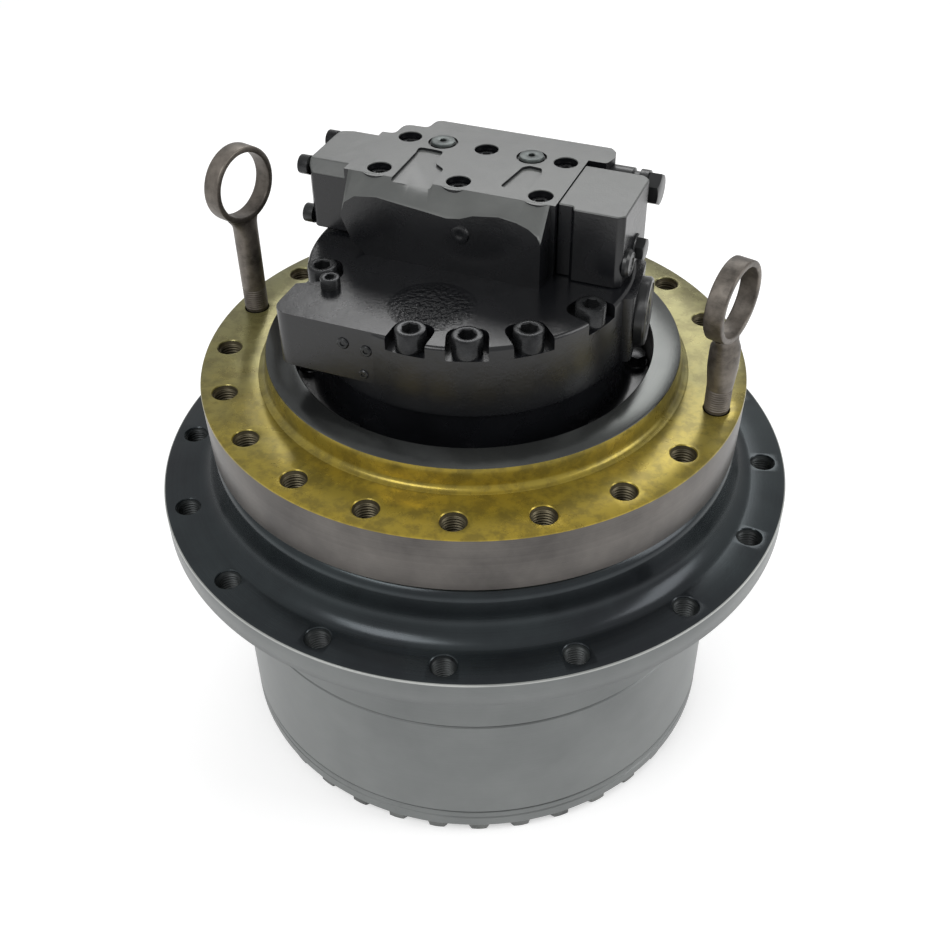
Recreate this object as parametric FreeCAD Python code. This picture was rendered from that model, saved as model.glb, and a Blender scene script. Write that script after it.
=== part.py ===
"""Excavator final drive: travel motor, brake valve, mounting spindle and two-stage planetary sprocket hub.

Millimetres. Z is the axis of rotation and points towards the motor. The origin is the centre of the machined
face that bolts to the track frame. X and Y are square to the axis. The valve block is turned by VALVE_YAW.
"""
import FreeCAD, Part
import math
import os

os.makedirs("parts", exist_ok=True)
Vector = FreeCAD.Vector

# Fits and clearances
SLIP = 0.05              # radial clearance of a running or guided cylinder
FACE_GAP = 0.3           # axial gap between faces that turn against each other
LOOSE = 0.3              # radial gap between a flange and its pocket

# Small repeated round pieces have this many sides
SIDES = 12

# Mounting spindle: the fixed part, bolted to the track frame
LIP_R = 202.0            # pilot lip inside the track frame
LIP_H = 23.0
LIP_WALL = 28.3
LIP_BORE_R = LIP_R - LIP_WALL
FRAME_LAND = 63.5        # width of the face that bolts to the track frame
FRAME_R = LIP_R + FRAME_LAND
FRAME_RIM = 61.0         # height of the rim
FRAME_HOLES = 20
FRAME_HOLE_EDGE = 22.5   # from the rim to the middle of a hole
FRAME_CIRCLE_R = FRAME_R - FRAME_HOLE_EDGE
FRAME_HOLE_R = 11.0      # tapped M24
FRAME_HOLE_DEPTH = 42.0
FRAME_FIRST_HOLE = -94.3  # degrees from +X
MOTOR_SEAT_Z = -30.0
BARREL_L = 173.0         # from the underside of the frame flange to its end
SPINDLE_END_Z = -FRAME_RIM - BARREL_L

# Sprocket hub: the turning drum
DRUM_R = 260.0
GAP = 3.0                # open gap between the spindle rim and the hub
NECK_STEP = 4.0          # of the neck's radius over the drum's
NECK_R = DRUM_R + NECK_STEP
NECK_CHAMFER = 7.0
NECK_H = 54.5            # from the top of the hub to the sprocket flange
COVE_W = 22.0            # concave foot of the neck on the sprocket flange
COVE_H = 24.0
SPROCKET_LAND = 60.0     # width of the face that the sprocket seats against
SPROCKET_R = DRUM_R + SPROCKET_LAND
SPROCKET_PLATE = 28.0
SPROCKET_HOLES = 16
SPROCKET_HOLE_EDGE = 22.0
SPROCKET_CIRCLE_R = SPROCKET_R - SPROCKET_HOLE_EDGE
SPROCKET_HOLE_R = 11.0
SPROCKET_FIRST_HOLE = -95.6
HUB_WALL = 48.0          # between the bore and the outside of the drum
HUB_BORE_R = DRUM_R - HUB_WALL
HUB_TOP_Z = -FRAME_RIM - GAP
SPROCKET_Z = HUB_TOP_Z - NECK_H

# Main bearing and face seal
BEARING_SECTION = 42.0   # from the bore of the hub to the barrel of the spindle
BEARING_W = 96.0
BEARING_DROP = 43.0      # from the underside of the frame flange
BARREL_R = HUB_BORE_R - BEARING_SECTION
SEAL_ROOM = 8.0          # radial room between the barrel and the seal
SEAL_H = 18.0

# End cover
COVER_PLATE = 23.0
COVER_BOLTS = 36
COVER_BOLT_EDGE = 18.0
COVER_BOLT_FLATS = 27.0
COVER_BOLT_HEAD = 12.5
OIL_PLUGS = 3
OIL_PLUG_R = 20.0        # further out than half the drum's radius
OIL_PLUG_FLATS = 30.0
OIL_PLUG_HEAD = 7.0

# Gears: both stages share the ring gear and have the same tooth counts
RING_WALL = 39.0         # between the roots of the ring gear's teeth and the outside of the drum
PRESSURE_ANGLE = 25.0
RING_TEETH = 42
SUN_TEETH = 12
PLANET_TEETH = 15
PLANETS = 3
ADDENDUM = 0.9           # of the module
DEDENDUM = 1.1
MODULE = (DRUM_R - RING_WALL) / (RING_TEETH / 2 + DEDENDUM)
TOOTH_FILL = 0.13        # of the module, added to each outer tooth: straight flanks leave out its crown
RING_RELIEF = 0.27       # of the module, added to each ring gear tooth space, along the pitch circle
CENTRE_DISTANCE = MODULE * (SUN_TEETH + PLANET_TEETH) / 2
STAGE_GAP = 3.0          # axial gap between a gear and the plate beside it
STAGE_2_W = 60.0
STAGE_1_W = 48.0
CARRIER_PLATE = 16.0
PIN_R = 24.0
CARRIER_EDGE = 25.0      # from the middle of a pin to the plate's edge
CARRIER_TIP_W = 90.0
CARRIER_WAIST = 17.0     # of the plate's long edges inside the pin circle
DRIVE_SHAFT_R = 17.0
SHAFT_BORE_R = 19.0      # clearance hole for the drive shaft
SHAFT_SOCKET = 24.0      # length of the shaft held in the motor
SEAM_RISE = 1.0          # seam of the hub and the ring gear above the second stage's gears
COVER_ROOM = 10.0        # between the first stage's gears and the end cover
STAGE_2_TOP_Z = SPINDLE_END_Z - CARRIER_PLATE - STAGE_GAP
STAGE_2_END_Z = STAGE_2_TOP_Z - STAGE_2_W
CARRIER_1_TOP_Z = STAGE_2_END_Z - STAGE_GAP
STAGE_1_TOP_Z = CARRIER_1_TOP_Z - CARRIER_PLATE - STAGE_GAP
STAGE_1_END_Z = STAGE_1_TOP_Z - STAGE_1_W
HUB_END_Z = STAGE_2_TOP_Z + SEAM_RISE
RING_END_Z = STAGE_1_END_Z - COVER_ROOM

# Travel motor
MOTOR_FLANGE_R = LIP_BORE_R - LOOSE
MOTOR_FLANGE = 18.0
MOTOR_RECESS = 25.7      # radial room around the motor inside the lip
MOTOR_WALL_R = LIP_BORE_R - MOTOR_RECESS
CASE_TOP_Z = 38.0
REAR_COVER_STEP = 4.0    # of the rear cover's radius over the case's
REAR_COVER_R = MOTOR_WALL_R + REAR_COVER_STEP
REAR_COVER_H = 72.0
REAR_COVER_TOP_Z = CASE_TOP_Z + REAR_COVER_H
LOBE_H = 54.0            # servo piston lobe of the rear cover
LOBE_INSET = 22.0        # of its end, along the valve block
LOBE_FLAT = 4.0          # of its flat face inside the cover's radius
LOBE_ROUND = 17.0
COVER_SCREW_EDGE = 14.0
COVER_SCREW_HEAD_R = 15.0
COVER_SCREW_HEAD = 20.0
COVER_SCREW_ANGLES = (-81.0, -22.5, -2.0, 20.0, 48.0, 112.0, 145.0, 172.0)
SCREW_POCKET = 14.0      # depth of the pockets in the rear cover
SCREW_POCKET_W = 37.0
SMALL_SCREW_ANGLE = -68.7
SMALL_SCREW_EDGE = 16.0
SMALL_SCREW_R = 9.0
SMALL_SCREW_HEAD = 10.0
FLANGE_SCREWS = 8
FLANGE_SCREW_FLATS = 18.0
FLANGE_SCREW_HEAD = 12.0

# Brake valve block, in its own directions: U along the block, W square to it
VALVE_YAW = -22.3
VALVE_H = 71.0
VALVE_TOP_Z = REAR_COVER_TOP_Z + VALVE_H
VALVE_LEFT_U = -121.7
VALVE_RIGHT_U = 82.0
VALVE_FRONT_W = -9.0
VALVE_GAP = 6.0          # behind the block, to the screws of the rear cover
VALVE_BACK_W = REAR_COVER_R - COVER_SCREW_EDGE - COVER_SCREW_HEAD_R - VALVE_GAP
VALVE_STEP_L = 18.0      # boss of the relief cartridge, at the back of the right end
VALVE_STEP_H = 46.0
VALVE_STEP_W = 32.0
VALVE_EAR_L = 16.0       # ear around the screw at the back of the left end
VALVE_EAR_W = 24.0
GALLERY_W = -32.0        # front of the spool gallery
GALLERY_ENDS = ((-94.0, 0.0), (-107.0, 12.0), (-117.0, 36.0))
GALLERY_WAVE = ((-101.0, 58.0), (-79.0, 61.0), (-11.0, 53.0), (38.0, 63.0), (66.0, 57.0), (77.0, 44.0))
VALVE_SCREW_U = -14.0    # middle of the screws' pattern
VALVE_SCREW_W = 39.0
VALVE_SCREW_PITCH_U = 78.0
VALVE_SCREW_PITCH_W = 69.0
VALVE_SCREW_R = 10.0
VALVE_SCREW_ROOM = 1.0   # around the head in its well
VALVE_SCREW_DROP = 6.0   # head below the top of the block
VALVE_SCREW_HEAD = 12.0
PLUG_PITCH = 88.8
PLUG_R = 12.0
PLUG_H = 2.5
CAP_L = 42.0             # spool end cap
CAP_FRONT_W = -5.0
CAP_BACK_W = 70.0
CAP_DROP = 2.0           # its top below the top of the block
CAP_RISE = 3.0           # its underside above the rear cover
CAP_CHAMFER = 10.0
CAP_SCREW_FLATS = 16.0
CAP_SCREW_HEAD = 10.0
CAP_SCREW_INSET_W = 9.0
CAP_SCREW_INSET_Z = 9.5
BLOCK_L = 62.6           # relief block
BLOCK_CHAMFER = 5.0
RELIEF_INSET = 20.0      # axis of the cartridge, in from the back of the block
RELIEF_R = 16.0
RELIEF_GAP = 5.0         # between the relief block and the cartridge
BLOCK_BACK_W = VALVE_BACK_W - RELIEF_INSET - RELIEF_R - RELIEF_GAP
RELIEF_L = 38.0
RELIEF_HEX_FLATS = 27.0
RELIEF_HEX_L = 12.0
PORT_ANGLE = 75.0        # degrees from the front towards +X
PORT_DROP = 35.0         # its axis below the top of the rear cover
PORT_PAD = 35.0          # half the width of the square pad that the port cap covers
PORT_PAD_PROUD = 6.0
PORT_CAP_R = 32.0
PORT_CAP = 10.0

# Lifting eyes in two of the frame holes, without the threaded ends that the holes hide
EYE_HOLES = (14, 4)      # numbered from the first frame hole
EYE_RING_Z = (140.0, 117.0)
EYE_TURN = 54.0          # direction of the ring's axis, degrees from the front towards +X
EYE_RING_R = 38.0
EYE_RING_WALL = 6.5
EYE_RING_W = 18.0
EYE_SHANK_R = 12.0


def disc(radius, low, high, x=0.0, y=0.0):
    """An upright cylinder between two heights."""
    return Part.makeCylinder(radius, high - low, Vector(x, y, low))


def sleeve(inner, outer, low, high):
    """An upright ring with a square section."""
    return disc(outer, low, high).cut(disc(inner, low, high))


def turned(points):
    """A solid of revolution about Z from (radius, height) points."""
    corners = [Vector(radius, 0, height) for radius, height in points]
    outline = Part.Face(Part.makePolygon(corners + corners[:1]))
    return outline.revolve(Vector(0, 0, 0), Vector(0, 0, 1), 360)


def prism(points, low, high):
    """An upright solid with a polygonal outline."""
    corners = [Vector(x, y, low) for x, y in points]
    outline = Part.Face(Part.makePolygon(corners + corners[:1]))
    return outline.extrude(Vector(0, 0, high - low))


def block(xs, ys, zs):
    """A box between two corners given as (low, high) pairs."""
    return Part.makeBox(xs[1] - xs[0], ys[1] - ys[0], zs[1] - zs[0], Vector(xs[0], ys[0], zs[0]))


def polar(radius, degrees):
    """A point of a circle about Z."""
    angle = math.radians(degrees)
    return radius * math.cos(angle), radius * math.sin(angle)


def many_sided(sides, flats, low, high, x=0.0, y=0.0, turn=0.0):
    """An upright bar with equal sides, given across its flats."""
    reach = flats / 2 / math.cos(math.pi / sides)
    corners = (polar(reach, turn + 360.0 * (k + 0.5) / sides) for k in range(sides))
    return prism([(x + dx, y + dy) for dx, dy in corners], low, high)


def head(radius, low, high, x=0.0, y=0.0):
    """A small round head or plug."""
    return many_sided(SIDES, 2 * radius, low, high, x, y)


def along_u(shape):
    """The same shape with its X, Y and Z turned to W, Z and U of the valve block."""
    shape.rotate(Vector(0, 0, 0), Vector(1, 1, 1), 120)
    return shape


def yawed(shape):
    """The same shape turned from the valve block's directions to the part's."""
    shape.rotate(Vector(0, 0, 0), Vector(0, 0, 1), VALVE_YAW)
    return shape


def fused(shapes):
    """One clean solid from several that touch or overlap."""
    return shapes[0].multiFuse(shapes[1:]).removeSplitter()


def save(node, shapes):
    """Writes one sub-part, as one solid or as a group of separate solids."""
    solids = [solid for shape in shapes for solid in shape.Solids]
    whole = solids[0] if len(solids) == 1 else Part.makeCompound(solids)
    whole.exportStep("parts/" + node + ".step")


# ---------------------------------------------------------------- gears


def involute(angle):
    return math.tan(angle) - angle


def flank_angle(teeth, radius):
    """Half the angle of a tooth at a radius."""
    alpha = math.radians(PRESSURE_ANGLE)
    base = MODULE * teeth / 2 * math.cos(alpha)
    local = math.acos(min(1.0, base / radius))
    return math.pi / (2 * teeth) + involute(alpha) - involute(local)


def toothed(teeth, radii, widen, low, high, first=0.0):
    """A prism whose outline has teeth from the first radius to the second, each with straight flanks."""
    pitch = MODULE * teeth / 2
    corners = []
    for k in range(teeth):
        middle = first + 360.0 * k / teeth
        for side, radius in zip((-1, -1, 1, 1), (radii[0], radii[1], radii[1], radii[0])):
            half = math.degrees(flank_angle(teeth, radius) + widen * MODULE / 2 / pitch)
            corners.append(polar(radius, middle + side * half))
    return prism(corners, low, high)


def outer_teeth(teeth, low, high, first):
    """An external gear with the middle of one tooth at the angle first."""
    pitch = MODULE * teeth / 2
    radii = (pitch - DEDENDUM * MODULE, pitch + ADDENDUM * MODULE)
    return toothed(teeth, radii, TOOTH_FILL, low, high, first)


def inner_teeth(teeth, low, high):
    """The space inside an internal gear, with the middle of one tooth space on +X."""
    pitch = MODULE * teeth / 2
    radii = (pitch - ADDENDUM * MODULE, pitch + DEDENDUM * MODULE)
    return toothed(teeth, radii, RING_RELIEF, low, high)


def planet_places():
    """Direction and centre of each planet gear."""
    for k in range(PLANETS):
        degrees = 360.0 * k / PLANETS
        yield (degrees,) + polar(CENTRE_DISTANCE, degrees)


def planet_gear(low, high, degrees, x, y):
    """A planet gear with a tooth in the ring gear and a space on the sun gear."""
    gear = outer_teeth(PLANET_TEETH, low, high, degrees)
    gear = gear.cut(disc(PIN_R + SLIP, low - 1, high + 1))
    gear.translate(Vector(x, y, 0))
    return gear


def carrier(top, pin_end):
    """A three-cornered plate with a planet pin at each corner and a bore for the drive shaft."""
    bottom = top - CARRIER_PLATE
    tip = CENTRE_DISTANCE + CARRIER_EDGE
    side = CENTRE_DISTANCE - CARRIER_WAIST
    corners = []
    for degrees, _, _ in planet_places():
        # Long edges leave each tip at 60 degrees to its flat end.
        reach = math.hypot(tip, CARRIER_TIP_W / 2)
        half = math.degrees(math.atan2(CARRIER_TIP_W / 2, tip))
        waist = side / math.cos(math.radians(60 - half))
        corners += [polar(reach, degrees - half), polar(reach, degrees + half)]
        corners += [polar(min(waist, reach), degrees + 60)]
    plate = prism(corners, bottom, top)
    pins = [disc(PIN_R, pin_end, bottom + 1, x, y) for _, x, y in planet_places()]
    return fused([plate] + pins).cut(disc(SHAFT_BORE_R, bottom - 1, top + 1))


def make_gear_train():
    for (degrees, x, y), name in zip(planet_places(), "abc"):
        save("planet_gear_1" + name, [planet_gear(STAGE_1_END_Z, STAGE_1_TOP_Z, degrees, x, y)])
        save("planet_gear_2" + name, [planet_gear(STAGE_2_END_Z, STAGE_2_TOP_Z, degrees, x, y)])

    # The second carrier is fixed to the spindle. The first one turns the second sun gear, which stands on it.
    save("carrier_2", [carrier(SPINDLE_END_Z, STAGE_2_END_Z - STAGE_GAP / 2)])
    save("carrier_1", [carrier(CARRIER_1_TOP_Z, STAGE_1_END_Z - STAGE_GAP / 2)])
    sun = outer_teeth(SUN_TEETH, CARRIER_1_TOP_Z, STAGE_2_TOP_Z, 0)
    save("sun_gear_2", [sun.cut(disc(SHAFT_BORE_R, CARRIER_1_TOP_Z - 1, STAGE_2_TOP_Z + 1))])

    # Drive shaft with the first sun gear cut on its end.
    sun = outer_teeth(SUN_TEETH, STAGE_1_END_Z, STAGE_1_TOP_Z, 0)
    shaft = disc(DRIVE_SHAFT_R, STAGE_1_TOP_Z, MOTOR_SEAT_Z + SHAFT_SOCKET - FACE_GAP)
    save("sun_gear_1_shaft", [fused([sun, shaft])])


# ---------------------------------------------------------------- turning drum


def make_hub():
    flange_end = SPROCKET_Z - SPROCKET_PLATE
    hub = turned([
        (HUB_BORE_R, HUB_TOP_Z),
        (NECK_R - NECK_CHAMFER, HUB_TOP_Z),
        (NECK_R, HUB_TOP_Z - NECK_CHAMFER),
        (NECK_R, SPROCKET_Z + COVE_H),
        (NECK_R + COVE_W, SPROCKET_Z),
        (SPROCKET_R, SPROCKET_Z),
        (SPROCKET_R, flange_end),
        (DRUM_R, flange_end),
        (DRUM_R, HUB_END_Z),
        (HUB_BORE_R, HUB_END_Z),
    ])
    holes = []
    for k in range(SPROCKET_HOLES):
        x, y = polar(SPROCKET_CIRCLE_R, SPROCKET_FIRST_HOLE + 360.0 * k / SPROCKET_HOLES)
        holes.append(disc(SPROCKET_HOLE_R, flange_end - 1, SPROCKET_Z + 1, x, y))
    save("sprocket_hub", [hub.cut(Part.makeCompound(holes))])

    ring = disc(DRUM_R, RING_END_Z, HUB_END_Z).cut(inner_teeth(RING_TEETH, RING_END_Z - 1, HUB_END_Z + 1))
    save("ring_gear", [ring])

    cover_end = RING_END_Z - COVER_PLATE
    save("end_cover", [disc(DRUM_R, cover_end, RING_END_Z)])

    heads = []
    for k in range(COVER_BOLTS):
        degrees = 360.0 * k / COVER_BOLTS
        x, y = polar(DRUM_R - COVER_BOLT_EDGE, degrees)
        heads.append(many_sided(6, COVER_BOLT_FLATS, cover_end - COVER_BOLT_HEAD, cover_end, x, y, degrees))
    save("cover_bolts", heads)

    plugs = []
    for k in range(OIL_PLUGS):
        x, y = polar(DRUM_R / 2 + OIL_PLUG_R, 30 + 360.0 * k / OIL_PLUGS)
        plugs.append(many_sided(6, OIL_PLUG_FLATS, cover_end - OIL_PLUG_HEAD, cover_end, x, y))
    save("oil_plugs", plugs)

    # Main bearing on the spindle, and the ring that seals against the underside of the frame flange.
    bearing_top = -FRAME_RIM - BEARING_DROP
    save("main_bearing", [sleeve(BARREL_R + SLIP, HUB_BORE_R, bearing_top - BEARING_W, bearing_top)])
    seal_top = -FRAME_RIM - FACE_GAP
    save("face_seal_ring", [sleeve(BARREL_R + SEAL_ROOM, HUB_BORE_R, seal_top - SEAL_H, seal_top)])


# ---------------------------------------------------------------- mounting spindle and lifting eyes


def frame_hole(number):
    """Centre of one tapped hole of the frame flange."""
    return polar(FRAME_CIRCLE_R, FRAME_FIRST_HOLE + 360.0 * number / FRAME_HOLES)


def make_spindle():
    spindle = turned([
        (LIP_BORE_R, LIP_H),
        (LIP_R, LIP_H),
        (LIP_R, 0),
        (FRAME_R, 0),
        (FRAME_R, -FRAME_RIM),
        (BARREL_R, -FRAME_RIM),
        (BARREL_R, SPINDLE_END_Z),
        (SHAFT_BORE_R, SPINDLE_END_Z),
        (SHAFT_BORE_R, MOTOR_SEAT_Z),
        (LIP_BORE_R, MOTOR_SEAT_Z),
    ])
    holes = [disc(FRAME_HOLE_R, -FRAME_HOLE_DEPTH, 1, *frame_hole(k)) for k in range(FRAME_HOLES)]
    save("mounting_spindle", [spindle.cut(Part.makeCompound(holes))])


def lifting_eye(number, ring_z):
    """A ring of flat section, with its axis level, on a shank over one of the frame holes."""
    x, y = frame_hole(number)
    half = EYE_RING_W / 2
    ring = many_sided(2 * SIDES, 2 * EYE_RING_R, -half, half)
    ring = ring.cut(disc(EYE_RING_R - EYE_RING_WALL, -half - 1, half + 1))
    ring.rotate(Vector(0, 0, 0), Vector(0, 1, 0), 90)
    ring.rotate(Vector(0, 0, 0), Vector(0, 0, 1), EYE_TURN - 90)
    ring.translate(Vector(x, y, ring_z))
    shank = head(EYE_SHANK_R, 0, ring_z - EYE_RING_R + EYE_RING_WALL / 2, x, y)
    return fused([ring, shank])


def make_lifting_eyes():
    save("lifting_eyes", [lifting_eye(k, z) for k, z in zip(EYE_HOLES, EYE_RING_Z)])


# ---------------------------------------------------------------- travel motor


def make_motor():
    flange_top = MOTOR_SEAT_Z + MOTOR_FLANGE
    case = turned([
        (0, CASE_TOP_Z),
        (MOTOR_WALL_R, CASE_TOP_Z),
        (MOTOR_WALL_R, flange_top),
        (MOTOR_FLANGE_R, flange_top),
        (MOTOR_FLANGE_R, MOTOR_SEAT_Z),
        (0, MOTOR_SEAT_Z),
    ])
    socket = disc(DRIVE_SHAFT_R + SLIP, MOTOR_SEAT_Z - 1, MOTOR_SEAT_Z + SHAFT_SOCKET)
    save("motor_case", [case.cut(socket)])

    heads = []
    for k in range(FLANGE_SCREWS):
        x, y = polar((MOTOR_WALL_R + MOTOR_FLANGE_R) / 2, 360.0 * k / FLANGE_SCREWS)
        heads.append(many_sided(6, FLANGE_SCREW_FLATS, flange_top, flange_top + FLANGE_SCREW_HEAD, x, y))
    save("motor_flange_screws", heads)


def lobe():
    """Servo piston lobe of the rear cover: flat-faced, tangent to the round wall."""
    low = REAR_COVER_TOP_Z - LOBE_H
    reach = -REAR_COVER_R + LOBE_INSET
    face = -REAR_COVER_R + LOBE_FLAT
    x, y = reach + LOBE_ROUND, face + LOBE_ROUND
    half = LOBE_ROUND * math.sqrt(0.5)
    corner = Part.Arc(Vector(x, face, low), Vector(x - half, y - half, low), Vector(reach, y, low))
    inner = -math.sqrt(REAR_COVER_R ** 2 - reach ** 2)
    rest = [(reach, y), (reach, inner), (0, 0), (0, face), (x, face)]
    sides = Part.makePolygon([Vector(u, w, low) for u, w in rest])
    return yawed(Part.Face(Part.Wire([corner.toShape()] + sides.Edges)).extrude(Vector(0, 0, LOBE_H)))


def facing(shape, degrees):
    """The same shape turned from +X to an angle from the front towards +X."""
    shape.rotate(Vector(0, 0, 0), Vector(0, 0, 1), degrees - 90)
    return shape


def make_rear_cover():
    port_z = REAR_COVER_TOP_Z - PORT_DROP
    pad_face = REAR_COVER_R + PORT_PAD_PROUD
    pad = block((0, pad_face), (-PORT_PAD, PORT_PAD), (port_z - PORT_PAD, port_z + PORT_PAD - 1))
    cover = fused([disc(REAR_COVER_R, CASE_TOP_Z, REAR_COVER_TOP_Z), lobe(), facing(pad, PORT_ANGLE)])
    floor = REAR_COVER_TOP_Z - SCREW_POCKET
    half = SCREW_POCKET_W / 2
    start = REAR_COVER_R - COVER_SCREW_EDGE
    pockets = []
    heads = []
    for degrees in COVER_SCREW_ANGLES:
        pocket = block((start - half, start + 3 * half), (-half, half), (floor, REAR_COVER_TOP_Z + 1))
        pockets.append(facing(pocket, degrees))
        heads.append(facing(head(COVER_SCREW_HEAD_R, floor, floor + COVER_SCREW_HEAD, start), degrees))
    save("rear_cover", [cover.cut(Part.makeCompound(pockets))])
    save("rear_cover_screws", heads)
    screw = head(SMALL_SCREW_R, REAR_COVER_TOP_Z, REAR_COVER_TOP_Z + SMALL_SCREW_HEAD,
                 REAR_COVER_R - SMALL_SCREW_EDGE)
    save("servo_cover_screw", [facing(screw, SMALL_SCREW_ANGLE)])

    cap = many_sided(2 * SIDES, 2 * PORT_CAP_R, pad_face, pad_face + PORT_CAP, -port_z)
    cap.rotate(Vector(0, 0, 0), Vector(0, 1, 0), 90)
    save("port_cap", [facing(cap, PORT_ANGLE)])


# ---------------------------------------------------------------- brake valve


def gallery():
    """Cast front of the valve block over its spool: a waved outline, and a slope up to the top of the block."""
    bottom = REAR_COVER_TOP_Z
    wave = list(GALLERY_ENDS) + list(GALLERY_WAVE) + [(GALLERY_WAVE[-1][0], 0.0)]
    front = prism([(u, bottom + rise) for u, rise in wave], -VALVE_FRONT_W, -GALLERY_W)
    front.rotate(Vector(0, 0, 0), Vector(1, 0, 0), 90)
    lowest = bottom + min(rise for _, rise in GALLERY_WAVE[:-1])
    slope = prism([(GALLERY_W, lowest), (VALVE_FRONT_W, VALVE_TOP_Z), (VALVE_FRONT_W, lowest)],
                  GALLERY_WAVE[0][0], GALLERY_WAVE[-2][0])
    return fused([front, along_u(slope)])


def valve_screw_places():
    for step in (-1, 0, 1):
        for side in (-0.5, 0.5):
            yield VALVE_SCREW_U + step * VALVE_SCREW_PITCH_U, VALVE_SCREW_W + side * VALVE_SCREW_PITCH_W


def make_valve_body():
    ear_u, ear_w = list(valve_screw_places())[1]
    outline = [
        (VALVE_LEFT_U, VALVE_FRONT_W),
        (VALVE_RIGHT_U, VALVE_FRONT_W),
        (VALVE_RIGHT_U, VALVE_BACK_W),
        (ear_u + VALVE_SCREW_R, VALVE_BACK_W),
        (ear_u + VALVE_SCREW_R, ear_w + VALVE_EAR_W),
        (ear_u - VALVE_EAR_L, ear_w + VALVE_EAR_W),
        (ear_u - VALVE_EAR_L, CAP_BACK_W + CAP_DROP),
        (VALVE_LEFT_U, CAP_BACK_W + CAP_DROP),
    ]
    step = block((VALVE_RIGHT_U, VALVE_RIGHT_U + VALVE_STEP_L), (VALVE_BACK_W - VALVE_STEP_W, VALVE_BACK_W),
                 (VALVE_TOP_Z - VALVE_STEP_H, VALVE_TOP_Z))
    body = fused([prism(outline, REAR_COVER_TOP_Z, VALVE_TOP_Z), step, gallery()])
    floor = VALVE_TOP_Z - VALVE_SCREW_DROP - VALVE_SCREW_HEAD
    wells = []
    heads = []
    for u, w in valve_screw_places():
        wells.append(head(VALVE_SCREW_R + VALVE_SCREW_ROOM, floor, VALVE_TOP_Z + 1, u, w))
        heads.append(head(VALVE_SCREW_R, floor, floor + VALVE_SCREW_HEAD, u, w))
    save("brake_valve_body", [yawed(body.cut(Part.makeCompound(wells)))])
    save("valve_screws", [yawed(screw) for screw in heads])

    plugs = []
    for side in (-0.5, 0.5):
        u, w = VALVE_SCREW_U + side * PLUG_PITCH, VALVE_SCREW_W + VALVE_SCREW_PITCH_W / 2
        plugs.append(yawed(head(PLUG_R, VALVE_TOP_Z, VALVE_TOP_Z + PLUG_H, u, w)))
    save("gallery_plugs", plugs)


def make_valve_ends():
    # Cap over the left end of the spool, with a chamfer along its front.
    end = VALVE_LEFT_U - CAP_L
    low = REAR_COVER_TOP_Z + CAP_RISE
    high = VALVE_TOP_Z - CAP_DROP
    section = [
        (CAP_FRONT_W, low),
        (CAP_BACK_W, low),
        (CAP_BACK_W, high),
        (CAP_FRONT_W + CAP_CHAMFER, high),
        (CAP_FRONT_W, high - CAP_CHAMFER),
    ]
    save("spool_end_cap", [yawed(along_u(prism(section, end, VALVE_LEFT_U)))])
    heads = []
    for w in (CAP_FRONT_W + CAP_SCREW_INSET_W, CAP_BACK_W - CAP_SCREW_INSET_W):
        for z in (low + CAP_SCREW_INSET_Z, high - CAP_SCREW_INSET_Z):
            heads.append(yawed(along_u(many_sided(6, CAP_SCREW_FLATS, end - CAP_SCREW_HEAD, end, w, z))))
    save("end_cap_screws", heads)

    # Relief block on the right end, and the relief cartridge behind it.
    end = VALVE_RIGHT_U + BLOCK_L
    outline = [
        (VALVE_RIGHT_U, VALVE_FRONT_W),
        (end - BLOCK_CHAMFER, VALVE_FRONT_W),
        (end, VALVE_FRONT_W + BLOCK_CHAMFER),
        (end, BLOCK_BACK_W - BLOCK_CHAMFER),
        (end - BLOCK_CHAMFER, BLOCK_BACK_W),
        (VALVE_RIGHT_U, BLOCK_BACK_W),
    ]
    save("relief_block", [yawed(prism(outline, REAR_COVER_TOP_Z, VALVE_TOP_Z))])
    start = VALVE_RIGHT_U + VALVE_STEP_L
    w, z = VALVE_BACK_W - RELIEF_INSET, VALVE_TOP_Z - VALVE_STEP_H / 2
    barrel = head(RELIEF_R, start, start + RELIEF_L, w, z)
    nut = many_sided(6, RELIEF_HEX_FLATS, start + RELIEF_L, start + RELIEF_L + RELIEF_HEX_L, w, z)
    save("relief_cartridge", [yawed(along_u(fused([barrel, nut])))])


make_spindle()
make_lifting_eyes()
make_hub()
make_gear_train()
make_motor()
make_rear_cover()
make_valve_body()
make_valve_ends()
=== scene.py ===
"""Looks of the excavator final drive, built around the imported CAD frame. Lengths are in millimetres until put()."""
import math

import bmesh
import bpy
from mathutils import Matrix, Vector


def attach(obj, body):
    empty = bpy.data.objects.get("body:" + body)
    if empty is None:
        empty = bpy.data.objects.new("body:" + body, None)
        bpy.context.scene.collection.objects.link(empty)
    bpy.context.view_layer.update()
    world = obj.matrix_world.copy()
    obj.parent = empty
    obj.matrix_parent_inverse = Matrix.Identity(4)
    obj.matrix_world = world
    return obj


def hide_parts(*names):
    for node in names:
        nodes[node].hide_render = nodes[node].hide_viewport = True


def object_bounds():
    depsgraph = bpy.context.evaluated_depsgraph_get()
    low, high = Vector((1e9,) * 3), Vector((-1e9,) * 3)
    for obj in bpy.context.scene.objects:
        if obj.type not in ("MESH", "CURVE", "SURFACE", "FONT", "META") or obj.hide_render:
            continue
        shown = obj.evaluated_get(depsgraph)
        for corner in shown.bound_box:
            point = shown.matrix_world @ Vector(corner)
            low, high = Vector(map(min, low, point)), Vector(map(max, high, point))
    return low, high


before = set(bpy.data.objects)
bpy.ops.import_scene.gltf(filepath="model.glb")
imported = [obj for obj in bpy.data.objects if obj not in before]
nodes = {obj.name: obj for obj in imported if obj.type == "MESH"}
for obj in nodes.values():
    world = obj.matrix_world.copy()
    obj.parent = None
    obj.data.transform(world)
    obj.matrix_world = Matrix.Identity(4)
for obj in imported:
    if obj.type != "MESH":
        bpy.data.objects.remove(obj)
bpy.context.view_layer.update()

MM = 0.001
TAU = 2 * math.pi
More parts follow.
